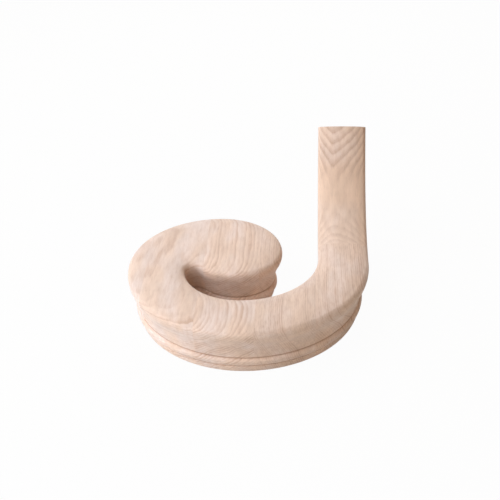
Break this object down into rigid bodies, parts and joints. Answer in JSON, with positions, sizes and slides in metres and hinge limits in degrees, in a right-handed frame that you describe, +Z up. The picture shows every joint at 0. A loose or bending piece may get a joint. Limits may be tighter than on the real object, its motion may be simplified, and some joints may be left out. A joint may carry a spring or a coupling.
{
  "type": "volute handrail fitting",
  "caption": "Left-hand volute for a wooden stair handrail: a level moulded scroll with a round eye and an up-easing leg, ending square for the rail joint.",
  "frame": {"origin": "axis of the newel pin where it meets the underside of the eye, which is the level the fitting rests on", "axes": "+Z up along the newel's axis, +Y along the leg towards the rising stair rail, +X towards the leg's side"},
  "size_m": [0.2715, 0.3397, 0.1521],
  "materials": {
    "oak": "raw sanded, unfinished"
  },
  "bodies": {
    "root": {"volute_fitting": "oak"}
  },
  "joints": []
}
